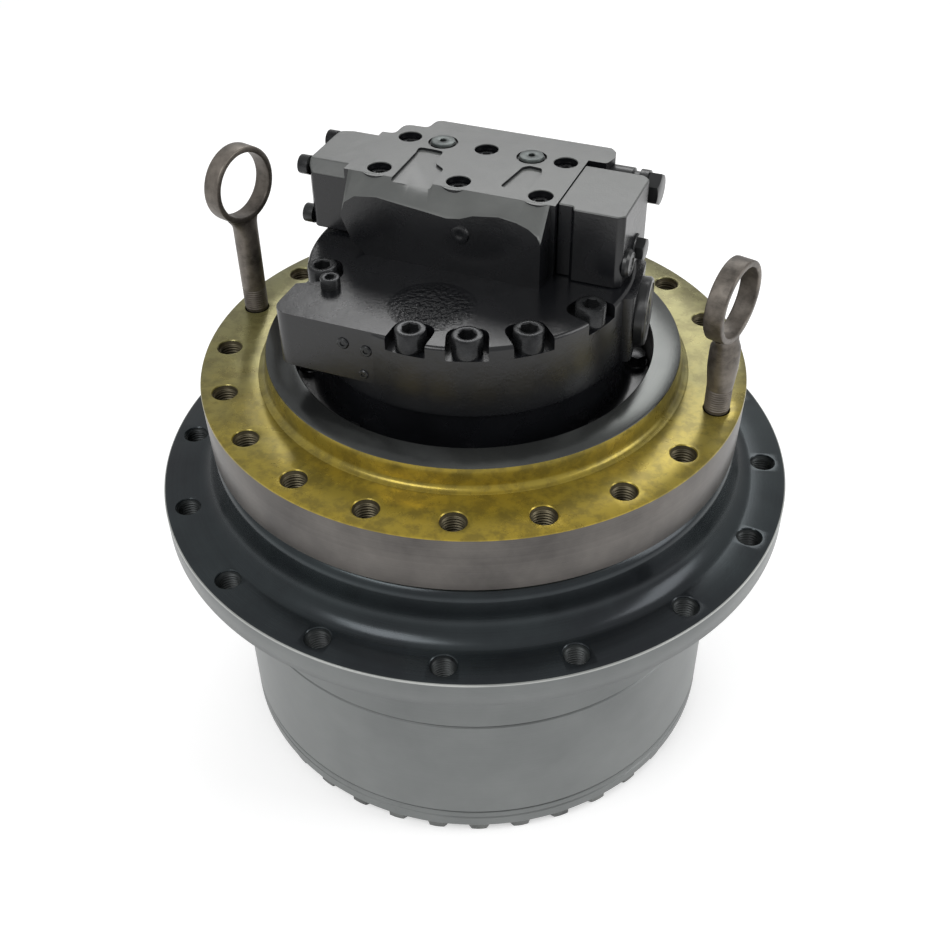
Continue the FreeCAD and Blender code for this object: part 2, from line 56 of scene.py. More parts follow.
YAW = math.radians(-22.3)            # turn of the valve block
FRAME_HOLES = (20, 243, -94.3)       # count, radius of the circle, direction of the first in degrees
SPROCKET_HOLES = (16, 298, -95.6)
EYE_HOLES = {14: 140.0, 4: 117.0}    # number of the frame hole, and height of the ring's centre
COVER_TOP = 110                      # top of the motor's rear cover
VALVE_TOP = 181
SCREW_ANGLES = (-81.0, -22.5, -2.0, 20.0, 48.0, 112.0, 145.0, 172.0)
SCREW_SEAT = 97.5                    # floor of the pockets around the rear cover's screws
VALVE_SCREWS = [(u, w) for u in (-92.0, -14.0, 64.0) for w in (4.5, 73.5)]
GALLERY_PLUGS = ((-58.0, 73.3), (30.8, 73.3))
GALLERY_FOOT = 122                   # the front of the spool gallery is plain below this height


# ---------------------------------------------------------------- outlines


def arc(cx, cy, radius, start, end, steps=8):
    """Points of an arc, angles in degrees."""
    return [(cx + radius * math.cos(math.radians(start + (end - start) * k / steps)),
             cy + radius * math.sin(math.radians(start + (end - start) * k / steps))) for k in range(steps + 1)]


def rounded(points, radii, steps=4):
    """A closed outline whose corners are turned into short curves. radii is a number or one number per corner."""
    count = len(points)
    out = []
    for k in range(count):
        radius = radii[k] if isinstance(radii, (list, tuple)) else radii
        corner = Vector(points[k])
        before = Vector(points[k - 1]) - corner
        after = Vector(points[(k + 1) % count]) - corner
        if radius <= 0 or before.length < 1e-6 or after.length < 1e-6:
            out.append(tuple(corner))
            continue
        turn = math.pi - before.angle(after)
        if turn < 0.05:
            out.append(tuple(corner))
            continue
        reach = min(radius * math.tan(turn / 2), 0.45 * before.length, 0.45 * after.length)
        a = corner + before.normalized() * reach
        b = corner + after.normalized() * reach
        for s in range(steps + 1):
            t = s / steps
            out.append(tuple(a * (1 - t) ** 2 + corner * 2 * t * (1 - t) + b * t ** 2))
    return out


# ---------------------------------------------------------------- solids


def lathe(profile, segments=192, mesh=None, closed=True):
    """Turns a (radius, height) outline about Z. Points on the axis close the solid there."""
    bm = mesh or bmesh.new()
    rings = []
    for radius, height in profile:
        if radius < 1e-6:
            rings.append([bm.verts.new((0, 0, height))])
        else:
            rings.append([bm.verts.new((radius * math.cos(TAU * k / segments),
                                        radius * math.sin(TAU * k / segments), height)) for k in range(segments)])
    pairs = list(zip(rings, rings[1:]))
    if closed and len(rings[0]) > 1 and len(rings[-1]) > 1:
        pairs.append((rings[-1], rings[0]))
    for low, high in pairs:
        for k in range(segments):
            n = (k + 1) % segments
            if len(low) == 1 and len(high) == 1:
                continue
            if len(low) == 1:
                bm.faces.new((low[0], high[n], high[k]))
            elif len(high) == 1:
                bm.faces.new((low[k], low[n], high[0]))
            else:
                bm.faces.new((low[k], low[n], high[n], high[k]))
    bmesh.ops.recalc_face_normals(bm, faces=bm.faces)
    return bm


def loft(loops, mesh=None):
    """A closed solid through loops of 3-D points with equal counts."""
    bm = mesh or bmesh.new()
    rows = [[bm.verts.new(p) for p in loop] for loop in loops]
    fresh = [bm.faces.new(rows[0][::-1]), bm.faces.new(rows[-1])]
    count = len(rows[0])
    for low, high in zip(rows, rows[1:]):
        for k in range(count):
            n = (k + 1) % count
            fresh.append(bm.faces.new((low[k], low[n], high[n], high[k])))
    bmesh.ops.recalc_face_normals(bm, faces=fresh)
    return bm


def prism(outline, low, high, mesh=None):
    """An upright solid over a flat outline."""
    return loft([[(x, y, low) for x, y in outline], [(x, y, high) for x, y in outline]], mesh)


def hexagon(flats, x=0.0, y=0.0, turn=0.0):
    reach = flats / 2 / math.cos(math.pi / 6)
    return [(x + reach * math.cos(turn + TAU * (k + 0.5) / 6), y + reach * math.sin(turn + TAU * (k + 0.5) / 6))
            for k in range(6)]


def moved(bm, matrix):
    bmesh.ops.transform(bm, matrix=matrix, verts=bm.verts)
    return bm


def joined(parts):
    """One mesh from several, each left as a closed shell of its own."""
    out = bmesh.new()
    for part in parts:
        mesh = bpy.data.meshes.new("part")
        part.to_mesh(mesh)
        part.free()
        out.from_mesh(mesh)
        bpy.data.meshes.remove(mesh)
    return out


def at(x=0.0, y=0.0, z=0.0):
    return Matrix.Translation((x, y, z))


def facing(degrees):
    """Turns +X to an angle from the front (-Y) towards +X."""
    return Matrix.Rotation(math.radians(degrees - 90), 4, "Z")


ALONG_X = Matrix.Rotation(math.pi / 2, 4, "Y")       # +Z to +X
VALVE = Matrix.Rotation(YAW, 4, "Z")
# X, Y and Z turned to W, Z and U of the valve block
ALONG_U = VALVE @ Matrix(((0, 0, 1, 0), (1, 0, 0, 0), (0, 1, 0, 0), (0, 0, 0, 1)))


# ---------------------------------------------------------------- materials


class Shader:
    """A short way to write a node material."""

    def __init__(self, name):
        self.material = bpy.data.materials.new(name)
        self.material.use_nodes = True
        self.tree = self.material.node_tree
        self.shader = self.tree.nodes["Principled BSDF"]
        self.place = self.node("ShaderNodeTexCoord").outputs["Object"]

    def node(self, kind, **settings):
        node = self.tree.nodes.new(kind)
        for key, value in settings.items():
            setattr(node, key, value)
        return node

    def link(self, source, target):
        self.tree.links.new(source, target)

    def noise(self, scale, detail=4.0, rough=0.55, stretch=None, place=None):
        """A noise with its scale per metre. stretch multiplies each axis."""
        source = place or self.place
        if stretch:
            mapping = self.node("ShaderNodeMapping")
            mapping.inputs["Scale"].default_value = stretch
            self.link(source, mapping.inputs["Vector"])
            source = mapping.outputs["Vector"]
        noise = self.node("ShaderNodeTexNoise")
        noise.inputs["Scale"].default_value = scale
        noise.inputs["Detail"].default_value = detail
        noise.inputs["Roughness"].default_value = rough
        self.link(source, noise.inputs["Vector"])
        return noise.outputs["Fac"]

    def ramp(self, value, stops):
        """Colours or greys along a value: a list of (position, colour or number)."""
        ramp = self.node("ShaderNodeValToRGB")
        elements = ramp.color_ramp.elements
        while len(elements) < len(stops):
            elements.new(0.5)
        for element, (position, colour) in zip(elements, stops):
            element.position = position
            element.color = (*colour, 1) if isinstance(colour, tuple) else (colour, colour, colour, 1)
        self.link(value, ramp.inputs["Fac"])
        return ramp.outputs["Color"]

    def mix(self, factor, a, b, blend="MIX"):
        """A mix of two colours, each a socket or a colour. factor is a socket or a number."""
        mix = self.node("ShaderNodeMix", data_type="RGBA", blend_type=blend)
        for socket, value in ((mix.inputs["Factor"], factor), (mix.inputs[6], a), (mix.inputs[7], b)):
            if isinstance(value, bpy.types.NodeSocket):
                self.link(value, socket)
            elif isinstance(value, tuple):
                socket.default_value = (*value, 1)
            else:
                socket.default_value = value
        return mix.outputs[2]

    def math(self, operation, *values):
        node = self.node("ShaderNodeMath", operation=operation)
        for socket, value in zip(node.inputs, values):
            if isinstance(value, bpy.types.NodeSocket):
                self.link(value, socket)
            else:
                socket.default_value = value
        return node.outputs[0]

    def radius(self):
        """Distance from the axis, in metres."""
        split = self.node("ShaderNodeSeparateXYZ")
        self.link(self.place, split.inputs[0])
        square = self.math("ADD", self.math("MULTIPLY", split.outputs[0], split.outputs[0]),
                           self.math("MULTIPLY", split.outputs[1], split.outputs[1]))
        return self.math("SQRT", square)

    def height(self):
        split = self.node("ShaderNodeSeparateXYZ")
        self.link(self.place, split.inputs[0])
        return split.outputs[2]

    def bump(self, *layers):
        """Adds up (height socket, strength, depth in metres) layers."""
        normal = None
        for height, strength, depth in layers:
            bump = self.node("ShaderNodeBump")
            bump.inputs["Strength"].default_value = strength
            bump.inputs["Distance"].default_value = depth
            self.link(height, bump.inputs["Height"])
            if normal:
                self.link(normal, bump.inputs["Normal"])
            normal = bump.outputs["Normal"]
        self.link(normal, self.shader.inputs["Normal"])

    def finish(self, colour, roughness, metallic=0.0, specular=None):
        for name, value in (("Base Color", colour), ("Roughness", roughness)):
            socket = self.shader.inputs[name]
            if isinstance(value, bpy.types.NodeSocket):
                self.link(value, socket)
            elif isinstance(value, tuple):
                socket.default_value = (*value, 1)
            else:
                socket.default_value = value
        self.shader.inputs["Metallic"].default_value = metallic
        if specular is not None:
            self.shader.inputs["Specular IOR Level"].default_value = specular
        return self.material


def srgb(red, green, blue):
    """Linear colour from 8-bit display values."""
    return tuple(((v / 255 + 0.055) / 1.055) ** 2.4 if v > 10 else v / 255 / 12.92 for v in (red, green, blue))


def machined(name, dark, light, rough=(0.25, 0.42), metallic=0.8, rings=900.0, depth=0.00004, patch=9.0):
    """Turned metal: fine rings about the axis, with soft stains."""
    s = Shader(name)
    radius = s.radius()
    coordinate = s.node("ShaderNodeCombineXYZ")
    s.link(radius, coordinate.inputs[0])
    s.link(s.height(), coordinate.inputs[1])
    fine = s.noise(rings, 3.0, 0.6, place=coordinate.outputs[0])
    stain = s.noise(patch, 5.0, 0.6)
    colour = s.mix(s.ramp(stain, [(0.35, 0.0), (0.68, 1.0)]), dark, light)
    colour = s.mix(0.22, colour, s.ramp(fine, [(0.3, dark), (0.7, light)]))
    roughness = s.math("ADD", s.math("MULTIPLY", stain, rough[1] - rough[0]), rough[0])
    s.bump((fine, 0.5, depth), (s.noise(60, 3), 0.25, 0.0001))
    return s.finish(colour, roughness, metallic)


def gold_film():
    """Golden film of rust preventer on turned steel: golden in front, olive and greyer towards the back."""
    s = Shader("gold_film")
    split = s.node("ShaderNodeSeparateXYZ")
    s.link(s.place, split.inputs[0])
    stain = s.noise(13, 6.0, 0.65)
    drift = s.math("ADD", split.outputs[1], s.math("MULTIPLY", s.math("SUBTRACT", stain, 0.5), 0.3))
    tint = s.ramp(s.math("ADD", s.math("MULTIPLY", drift, 2.0), 0.6),
                  [(0.0, srgb(170, 146, 48)), (0.3, srgb(152, 136, 56)),
                   (0.6, srgb(132, 126, 78)), (1.0, srgb(128, 126, 88))])
    flecks = s.noise(55, 6.0, 0.7)
    colour = s.mix(s.ramp(flecks, [(0.42, 0.45), (0.56, 0.0)]), tint, srgb(84, 76, 40))
    coordinate = s.node("ShaderNodeCombineXYZ")
    s.link(s.radius(), coordinate.inputs[0])
    s.link(s.height(), coordinate.inputs[1])
    fine = s.noise(900, 3.0, 0.6, place=coordinate.outputs[0])
    roughness = s.math("ADD", s.math("MULTIPLY", stain, 0.25), 0.16)
    s.bump((fine, 0.4, 0.00003), (s.noise(60, 3), 0.25, 0.0001))
    return s.finish(colour, roughness, 0.55)


def cast_paint(name, dark, light, rough=(0.32, 0.5), grain=420.0, depth=0.0004, rough_patch=None):
    """Paint over a casting: grain, soft blotches, and a rougher round patch (x, y, z, radius)."""
    s = Shader(name)
    blotch = s.noise(14, 5.0, 0.6)
    colour = s.mix(s.ramp(blotch, [(0.3, 0.0), (0.7, 1.0)]), dark, light)
    roughness = s.math("ADD", s.math("MULTIPLY", blotch, rough[1] - rough[0]), rough[0])
    layers = [(s.noise(grain, 3.0, 0.6), 0.25, depth), (s.noise(45, 3.0), 0.25, 0.0012)]
    if rough_patch:
        apart = s.node("ShaderNodeVectorMath", operation="DISTANCE")
        s.link(s.place, apart.inputs[0])
        apart.inputs[1].default_value = rough_patch[:3]
        mask = s.ramp(s.math("DIVIDE", apart.outputs["Value"], rough_patch[3]), [(0.55, 1.0), (0.95, 0.0)])
        layers.append((s.math("MULTIPLY", mask, s.noise(230, 2.0, 0.5)), 1.0, 0.004))
    s.bump(*layers)
    return s.finish(colour, roughness, 0.0)


def steel(name, dark, light, rough=(0.3, 0.5), metallic=0.85, grain=260.0):
    """Bare or oiled steel with scratches and stains."""
    s = Shader(name)
    stain = s.noise(38, 5.0, 0.65)
    scratch = s.noise(grain, 4.0, 0.7, stretch=(1, 1, 6))
    colour = s.mix(s.ramp(stain, [(0.35, 0.0), (0.65, 1.0)]), dark, light)
    colour = s.mix(s.ramp(scratch, [(0.5, 0.0), (0.75, 0.4)]), colour, light)
    roughness = s.math("ADD", s.math("MULTIPLY", scratch, rough[1] - rough[0]), rough[0])
    s.bump((scratch, 0.3, 0.00015))
    return s.finish(colour, roughness, metallic)


GOLD = gold_film()
RIM = machined("rim_steel", srgb(74, 71, 69), srgb(112, 108, 104), (0.26, 0.42), 0.65, patch=12.0)
LIP = machined("lip_steel", srgb(66, 68, 68), srgb(92, 94, 92), (0.16, 0.26), 0.8)
# near-black painted shade for the bore inside the pilot lip, the flange's underside and the walls of the frame holes
RECESS_SHADE = cast_paint("recess_painted_shade", srgb(12, 13, 13), srgb(22, 23, 23), (0.4, 0.55))
# dark slate painted shade and painted reflection for the hub's neck, cove and sprocket flange top; the hub's sides
# below are drum grey
FLANGE_TOP_SHADE = machined("flange_top_painted_shade", srgb(36, 39, 43), srgb(60, 68, 70), (0.2, 0.3), 0.6, patch=5.0)
DRUM = machined("drum_grey", srgb(100, 103, 103), srgb(130, 133, 132), (0.34, 0.46), 0.45, patch=4.0)
# light grey painted highlight on the sprocket flange's top outer edge
EDGE_HIGHLIGHT = machined("painted_highlight_edge", srgb(150, 152, 150), srgb(190, 192, 188), (0.25, 0.35), 0.8)
MOTOR = cast_paint("motor_black", srgb(13, 14, 16), srgb(21, 22, 25), (0.2, 0.34))
COVER = cast_paint("cover_black", srgb(13, 14, 16), srgb(21, 22, 25), (0.2, 0.34),
                   rough_patch=(-0.035, -0.085, 0.11, 0.042))
VALVE_PAINT = cast_paint("valve_grey", srgb(80, 82, 81), srgb(94, 96, 94), (0.26, 0.4))
# dark screw steel: black socket screws, kept dark also as painted shade for the screws at the bottom of the motor's
# recess
SCREW_BLACK_AND_SHADE = steel("screw_black_and_recess_shade", srgb(22, 23, 25), srgb(58, 59, 60), (0.2, 0.34), 0.6)
BOLT = steel("bolt_steel", srgb(74, 76, 76), srgb(120, 122, 120), (0.32, 0.5), 0.6)
PLUG = steel("plug_steel", srgb(48, 54, 54), srgb(96, 102, 100), (0.3, 0.45), 0.6)
EYE = steel("eye_steel", srgb(72, 67, 62), srgb(124, 117, 109), (0.36, 0.54), 0.6, 160.0)
THREAD = steel("thread_steel", srgb(52, 46, 32), srgb(104, 96, 74), (0.35, 0.5), 0.6)
DARK_THREAD = steel("dark_thread", srgb(22, 25, 27), srgb(60, 64, 64), (0.35, 0.5), 0.5)
CAP = cast_paint("cap_black", srgb(20, 21, 22), srgb(36, 37, 38), (0.24, 0.36))
GEAR = steel("gear_steel", srgb(120, 120, 118), srgb(170, 170, 166), (0.22, 0.4), 0.9)
BEARING = steel("bearing_steel", srgb(130, 131, 132), srgb(180, 180, 180), (0.18, 0.32), 0.95)


# ---------------------------------------------------------------- putting pieces in place


def applied(piece):
    """Turns the piece's modifiers into its mesh."""
    bpy.context.view_layer.update()
    graph = bpy.context.evaluated_depsgraph_get()
    mesh = bpy.data.meshes.new_from_object(piece.evaluated_get(graph))
    old = piece.data
    piece.modifiers.clear()
    piece.data = mesh
    bpy.data.meshes.remove(old)
    return piece


def bare(name, bm, scale=MM):
    """An object from a mesh in millimetres."""
    bmesh.ops.scale(bm, vec=(scale, scale, scale), verts=bm.verts)
    mesh = bpy.data.meshes.new(name)
    bm.to_mesh(mesh)
    bm.free()
    piece = bpy.data.objects.new(name, mesh)
    bpy.context.scene.collection.objects.link(piece)
    return piece


def carve(piece, cutter, operation="DIFFERENCE", scale=MM):
    """Cuts one mesh out of another, or adds it."""
    tool = bare("cutter", cutter, scale)
    change = piece.modifiers.new("carve", "BOOLEAN")
    change.operation = operation
    change.solver = "EXACT"
    change.use_self = True
    change.object = tool
    applied(piece)
    mesh = tool.data
    bpy.data.objects.remove(tool)
    bpy.data.meshes.remove(mesh)
    return piece


def put(piece, body, materials, replaces=(), bevel=0.0, steps=3, paint=None, angle=32.0):
    """Bevels and shades a piece, gives it its materials, and fixes it to a body."""
    if bevel:
        edge = piece.modifiers.new("edge", "BEVEL")
        edge.width = bevel * MM
        edge.segments = steps
        edge.limit_method = "ANGLE"
        edge.angle_limit = math.radians(angle)
        edge.miter_outer = "MITER_ARC"
        applied(piece)
    piece.data.shade_smooth()
    if bevel:
        piece.data.set_sharp_from_angle(angle=math.radians(36))
        piece.modifiers.new("shade", "WEIGHTED_NORMAL").keep_sharp = True
        applied(piece)
    else:
        piece.data.set_sharp_from_angle(angle=math.radians(angle))
    for material in materials:
        piece.data.materials.append(material)
    if paint:
        for face in piece.data.polygons:
            centre = face.center / MM
            face.material_index = paint(centre, face.normal)
    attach(piece, body)
    if replaces:
        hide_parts(*replaces)
    return piece


# ---------------------------------------------------------------- screws, plugs and threads


def socket_head(radius, height, hex_flats, depth, segments=32):
    """Round screw head with a hexagonal socket, standing on z = 0."""
    edge = 0.09 * radius
    head = lathe([(0, 0), (radius, 0), (radius, height - edge), (radius - 0.35 * edge, height - 0.3 * edge),
                  (radius - edge, height), (0, height)], segments, closed=False)
    piece = bare("head", head, 1.0)
    hole = prism(hexagon(hex_flats), height - depth, height + 1)
    cone = lathe([(0, height - 0.12 * hex_flats), (hex_flats * 0.5, height - 0.05 * hex_flats),
                  (hex_flats * 0.62, height + 0.1), (0, height + 0.1)], 24, closed=False)
    for cutter in (hole, cone):
        carve(piece, cutter, scale=1.0)
    out = bmesh.new()
    out.from_mesh(piece.data)
    bpy.data.objects.remove(piece)
    return out


def hex_head(flats, height, washer=0.0, washer_h=0.0):
    """Hexagonal head with chamfered corners, standing on z = 0."""
    bm = bmesh.new()
    if washer:
        lathe([(0, 0), (washer, 0), (washer, washer_h * 0.6), (washer - 0.8, washer_h), (0, washer_h)], 32, bm, False)
    reach = flats / 2
    corner = reach / math.cos(math.pi / 6)
    rise = (corner - reach) * 0.6
    outline = hexagon(flats)
    dense = []
    for k in range(6):
        a, b = Vector(outline[k]), Vector(outline[(k + 1) % 6])
        dense += [a.lerp(b, t / 6) for t in range(6)]
    loops = [[(p.x, p.y, washer_h) for p in dense]]
    for level in (0.0, 1.0):
        loop = []
        for p in dense:
            over = (p.length - reach * 0.985) / (corner - reach * 0.985)
            drop = max(0.0, over) * rise
            shrink = 1.0 if level == 0 else reach * 0.96 / max(p.length, reach * 0.96)
            loop.append((p.x * shrink, p.y * shrink, height - drop if level == 0 else height))
        loops.append(loop)
    return loft(loops, bm)


def threads(inner, outer, low, high, pitch, segments=32, shell=None):
    """A liner with thread grooves facing inwards."""
    profile = [(outer, high), (outer, low), (inner, low)]
    z = low
    while z + pitch <= high - 0.4 * pitch:
        profile += [(inner, z + 0.15 * pitch), (inner + 0.8 * (outer - inner), z + 0.5 * pitch),
                    (inner, z + 0.85 * pitch)]
        z += pitch
    profile.append((inner + 0.5, z))
    profile.append((outer - 0.2, high))
    return lathe(profile, segments, shell)


def ring_places(count, radius, first):
    for k in range(count):
        angle = math.radians(first + 360.0 * k / count)
        yield k, radius * math.cos(angle), radius * math.sin(angle)


# ---------------------------------------------------------------- mounting spindle


def make_spindle():
    """Frame flange with its pilot lip, and the barrel inside the hub."""
    profile = [(19, -30), (173.7, -30), (173.7, 22.0), (174.7, 23)]
    profile += [(199.0, 23), (200.3, 22.4), (200.8, 21.2), (202.2, 15.0), (202.4, 6.0)]
    profile += arc(208.4, 6.0, 6.0, 180, 270, 6)[1:]
    profile += [(209.6, -0.35), (210.4, 0.0)]
    profile += [(263.9, 0.0), (265.1, -0.5), (265.6, -1.7), (264.2, -60.0), (263.0, -61)]
    profile += [(170, -61), (170, -234), (19, -234)]
    piece = bare("mounting_spindle_casting", lathe(profile, 256))
    cutters = []
    for _, x, y in ring_places(*FRAME_HOLES):
        cutters.append(moved(lathe([(0, -42), (12.1, -42), (12.1, -0.9), (12.9, 0.0), (12.9, 2), (0, 2)], 32,
                                   closed=False), at(x, y)))
    carve(piece, joined(cutters))

    def paint(c, n):
        r = math.hypot(c.x, c.y)
        # bore and underside: slot 3, painted shade
        if r < 174.5 or c.z < -62:
            return 3
        if r < 200.6 and c.z > 20:
            return 2
        if r > 262.5 and c.z < -1.2:
            return 1
        # walls of the frame holes: slot 3, painted shade
        if any(math.hypot(c.x - x, c.y - y) < 12.3 for _, x, y in ring_places(*FRAME_HOLES)) and c.z < -1:
            return 3
        return 0

    put(piece, "fixed_body", [GOLD, RIM, LIP, RECESS_SHADE], ["mounting_spindle"], paint=paint, angle=38)
    liners = [moved(threads(10.4, 12.05, -40, -1.4, 3.0, 28), at(x, y))
              for k, x, y in ring_places(*FRAME_HOLES) if k not in EYE_HOLES]
    put(bare("frame_threads", joined(liners)), "fixed_body", [THREAD], angle=20)


def make_eyes():
    """Lifting eyes in two of the frame holes. waist is the radius of the shank below the ring."""
    for name, waist, (number, ring_z) in zip(("left", "right"), (12.2, 14.0), EYE_HOLES.items()):
        _, x, y = list(ring_places(*FRAME_HOLES))[number]
        section = rounded([(32.0, -9.0), (38.0, -9.0), (38.0, 9.0), (32.0, 9.0)], 1.8, 3)
        ring = moved(lathe(section, 72), ALONG_X)
        loops = []
        for z, wide, thick in ((-33.6, 20.0, 8.2), (-37.5, 17.2, 8.9), (-42, 14.2, 10.3),
                               (-48, waist + 0.5, waist - 0.5),
                               (-56, waist, waist), (-70, waist, waist), (-ring_z + 26.5, 12.0, 12.0)):
            loops.append([(thick * math.cos(TAU * k / 36), wide * math.sin(TAU * k / 36), z) for k in range(36)])
        loops.reverse()
        shank = loft(loops)
        profile = [(0, -ring_z + 27.0), (12.0, -ring_z + 27.0)]
        z = -ring_z + 26.0
        while z > -ring_z + 1.5:
            profile += [(12.0, z), (11.4, z - 1.25)]
            z -= 2.5
        profile += [(11.2, -ring_z + 0.05), (0, -ring_z + 0.05)]
        end = lathe(profile, 36, closed=False)
        whole = moved(joined([ring, shank, end]), at(x, y, ring_z) @ Matrix.Rotation(math.radians(54 - 90), 4, "Z"))
        piece = bare("lifting_eye_" + name, whole)
        put(piece, "fixed_body", [EYE], ["lifting_eyes"], angle=40)


# ---------------------------------------------------------------- drum


def make_hub():
    """Neck, cove, sprocket flange and the upper drum."""
    profile = [(212, -64), (251.5, -64)]
    profile += arc(251.5, -76.5, 12.5, 90, 0, 8)[1:]
    profile += [(264, -90)]
    profile += [(286 - 22 * math.cos(t), -90 - 28.5 * math.sin(t)) for t in [k * math.pi / 16 for k in range(1, 9)]]
    profile += [(318.6, -118.5), (319.6, -119.0), (320, -120.2), (320, -144.6), (318.6, -146.5), (262.4, -146.5)]
    profile += [(260.5, -147.2), (260, -149), (260, -250.9), (259.0, -252), (212, -252)]
    piece = bare("sprocket_hub_casting", lathe(profile, 256))
    cutters = []
    for _, x, y in ring_places(*SPROCKET_HOLES):
        cutters.append(moved(lathe([(0, -148), (12.1, -148), (12.1, -119.4), (12.9, -118.5), (12.9, -117), (0, -117)],
                                   32, closed=False), at(x, y)))
    carve(piece, joined(cutters))

    def paint(c, n):
        r = math.hypot(c.x, c.y)
        # top outer edge of the sprocket flange: slot 2, painted highlight
        if r > 318.5 and c.z > -120.3:
            return 2
        if c.z < -120.3 and n.z < 0.5 and r > 25 and not (r < 311 and c.z > -146):
            return 1
        # neck, cove and flange top: slot 0, dark painted shade and reflection
        return 0

    put(piece, "drum", [FLANGE_TOP_SHADE, DRUM, EDGE_HIGHLIGHT], ["sprocket_hub"], paint=paint, angle=38)
    liners = [moved(threads(10.4, 12.05, -146, -120.2, 3.0, 28), at(x, y))
              for _, x, y in ring_places(*SPROCKET_HOLES)]
    put(bare("sprocket_threads", joined(liners)), "drum", [DARK_THREAD], angle=20)


def make_ring_gear():
    """The drum between the seams, with the ring gear's teeth inside."""
    piece = bare("ring_gear_drum", lathe([(200, -253.2), (258.8, -253.2), (260, -254.4), (260, -390.4),
                                          (258.4, -392.0), (258.4, -393), (200, -393)], 256))
    outline = []
    for k in range(42):
        middle = 360.0 * k / 42
        for radius, half in ((201, -3.1), (221, -1.25), (221, 1.25), (201, 3.1)):
            angle = math.radians(middle + half)
            outline.append((radius * math.cos(angle), radius * math.sin(angle)))
    carve(piece, prism(outline, -400, -250))
    put(piece, "drum", [DRUM], ["ring_gear"], angle=30)


def make_cover():
    """End cover with its ring of bolts and its oil plugs."""
    profile = [(0, -393.2), (257.6, -393.2), (259.4, -394.0), (260, -395.6), (260, -399.8), (258.9, -400.8),
               (258.9, -402.0), (260, -403.0), (260, -413.6), (258.6, -416.0), (232, -416.0), (226, -414.4),
               (0, -414.4)]
    put(bare("end_cover_plate", lathe(profile, 256, closed=False)), "drum", [DRUM], ["end_cover"],
        angle=30)
    heads = []
    for k, x, y in ring_places(36, 242, 0):
        turn = Matrix.Rotation(TAU * k / 36, 4, "Z")
        heads.append(moved(hex_head(27, 12.4, 15.6, 2.2), at(x, y, -416) @ turn @ Matrix.Rotation(math.pi, 4, "X")))
    put(bare("cover_bolt_heads", joined(heads)), "drum", [BOLT], ["cover_bolts"], angle=25)
    plugs = []
    for _, x, y in ring_places(3, 150, 30):
        plugs.append(moved(hex_head(30, 8.5, 19, 2.4), at(x, y, -414.4) @ Matrix.Rotation(math.pi, 4, "X")))
    put(bare("oil_plug_heads", joined(plugs)), "drum", [PLUG], ["oil_plugs"], angle=25)


# ---------------------------------------------------------------- travel motor


def make_motor():
    """Case of the motor, and the screws at the bottom of the recess."""
    profile = [(0, 38), (148, 38), (148, -2)]
    profile += arc(158, -2, 10, 180, 270, 5)[1:]
    profile += [(172.2, -12), (173.3, -13.2), (173.3, -30), (0, -30)]
    piece = bare("motor_case_casting", lathe(profile, 192, closed=False))
    put(piece, "fixed_body", [MOTOR], ["motor_case"], angle=38)
    heads = []
    for k, x, y in ring_places(8, 161, 0):
        heads.append(moved(hex_head(18, 12, 12, 2.0), at(x, y, -12)))
    # the recess screws take the dark screw steel as painted shade
    put(bare("flange_screw_heads", joined(heads)), "fixed_body", [SCREW_BLACK_AND_SHADE], ["motor_flange_screws"],
        angle=25)


def make_rear_cover():
    """Rear cover with its lobe, port pad, screws and plugs."""
    edge = [(0, 110), (148.5, 110)] + arc(148.5, 106.5, 3.5, 90, 0, 4)[1:]
    edge += [(152, 40.0), (150.6, 38.6), (149, 38), (0, 38)]
    disc = bare("rear_cover_casting", lathe(edge, 192, closed=False))
    outline = rounded([(0, 0), (0, -148), (-130, -148), (-130, -76)], [0, 0, 17, 0], 8)
    lobe = moved(prism(outline, 56, 110), VALVE)
    carve(disc, lobe, "UNION")
    pad = moved(prism(rounded([(100, -36), (158, -36), (158, 36), (100, 36)], [0, 8, 8, 0], 4), 41, 108), facing(75))
    carve(disc, pad, "UNION")
    pockets = []
    for degrees in SCREW_ANGLES:
        flat = rounded([(119.5, -18.5), (175, -18.5), (175, 18.5), (119.5, 18.5)], [14, 0, 0, 14], 6)
        pockets.append(moved(prism(flat, SCREW_SEAT, 112), facing(degrees)))
    carve(disc, joined(pockets))
    put(disc, "fixed_body", [COVER], ["rear_cover"], bevel=1.0, steps=2, angle=35)

    heads = []
    for degrees in SCREW_ANGLES:
        heads.append(moved(socket_head(13.6, 18.5, 14, 9), facing(degrees) @ at(138, 0, SCREW_SEAT)))
    put(bare("rear_cover_screw_heads", joined(heads)), "fixed_body", [SCREW_BLACK_AND_SHADE], ["rear_cover_screws"],
        angle=30)

    small = moved(socket_head(9, 10, 8, 5, 28), facing(-68.7) @ at(136, 0, COVER_TOP))
    put(bare("servo_cover_screw_head", small), "fixed_body", [SCREW_BLACK_AND_SHADE], ["servo_cover_screw"], angle=30)

    cap = lathe([(0, 0), (32, 0), (32, 7.5), (30.5, 9.4), (27, 9.8), (25.5, 8.8), (24.5, 8.6), (12, 8.6), (10.8, 7.6),
                 (0, 7.6)], 48, closed=False)
    cap = moved(cap, facing(75) @ at(158, 0, 75) @ ALONG_X)
    put(bare("port_cap_plug", cap), "fixed_body", [CAP], ["port_cap"], angle=30)

    plugs = []
    for u, z, size in ((-60.7, 92.4, 5.5), (-38.9, 89.4, 5.5), (-42.9, 64.0, 4.5)):
        knob = lathe([(0, 0), (size, 0), (size, 0.8), (size * 0.8, 1.6), (size * 0.45, 1.6), (size * 0.4, 0.6),
                      (0, 0.6)], 20, closed=False)
        plugs.append(moved(knob, VALVE @ at(u, -148, z) @ Matrix.Rotation(math.pi / 2, 4, "X")))
    put(bare("lobe_face_plugs", joined(plugs)), "fixed_body", [SCREW_BLACK_AND_SHADE], angle=30)


# ---------------------------------------------------------------- brake valve


def gallery_height(z, w):
    """The gallery's front slopes from its wave up to the top of the block."""
    if z <= GALLERY_FOOT or w <= -32:
        return z
    return VALVE_TOP - 0.1 if w >= -9 else z + 2.2


